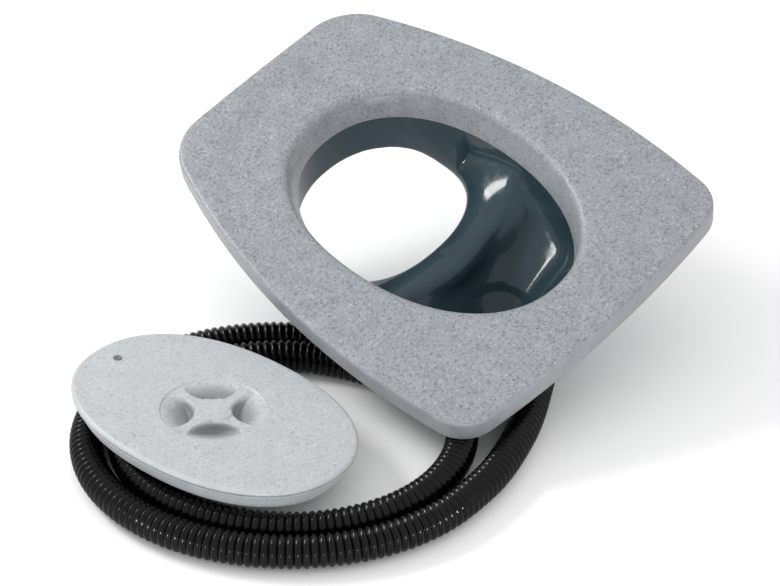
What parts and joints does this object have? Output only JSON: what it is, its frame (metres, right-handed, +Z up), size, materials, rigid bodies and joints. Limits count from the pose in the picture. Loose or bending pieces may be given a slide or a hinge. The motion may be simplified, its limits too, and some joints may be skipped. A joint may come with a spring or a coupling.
{
  "type": "composting toilet seat insert",
  "caption": "Urine-diverting seat insert of a composting toilet: tilted oval-opening seat, slate separator with bowl and drop hole, loose lid and coiled ribbed drain hose.",
  "frame": {"origin": "on the floor, under the middle of the seat, separator and lid taken together", "axes": "+Z up; +X from the loose lid towards the seat; +Y towards the seat's rear"},
  "size_m": [0.6146, 0.5011, 0.2158],
  "materials": {
    "granite_seat": "satin",
    "granite_lid": "satin",
    "dark_separator": "gloss",
    "hose": "gloss",
    "grey_fitting": "satin",
    "rubber": "matte",
    "brass": "satin",
    "steel": "satin"
  },
  "bodies": {
    "seat_set": {"seat_board": "granite_seat", "seat_vent_plug": "grey_fitting", "seat_inserts": "brass", "separator": "dark_separator", "separator_washers": "steel", "separator_screws": "steel", "elbow": "grey_fitting", "elbow_o_ring": "rubber", "hose_clip": "steel", "hose_clip_screw": "steel", "hose_tail": "hose", "hose_coil": "hose"},
    "lid": {"lid_shell": "granite_lid", "lid_vent_plug": "granite_lid"}
  },
  "joints": [
    {"name": "lid_lift", "type": "slide", "parent": "seat_set", "child": "lid", "axis": [0, 0, 1], "range_m": [0, 0.25]}
  ]
}
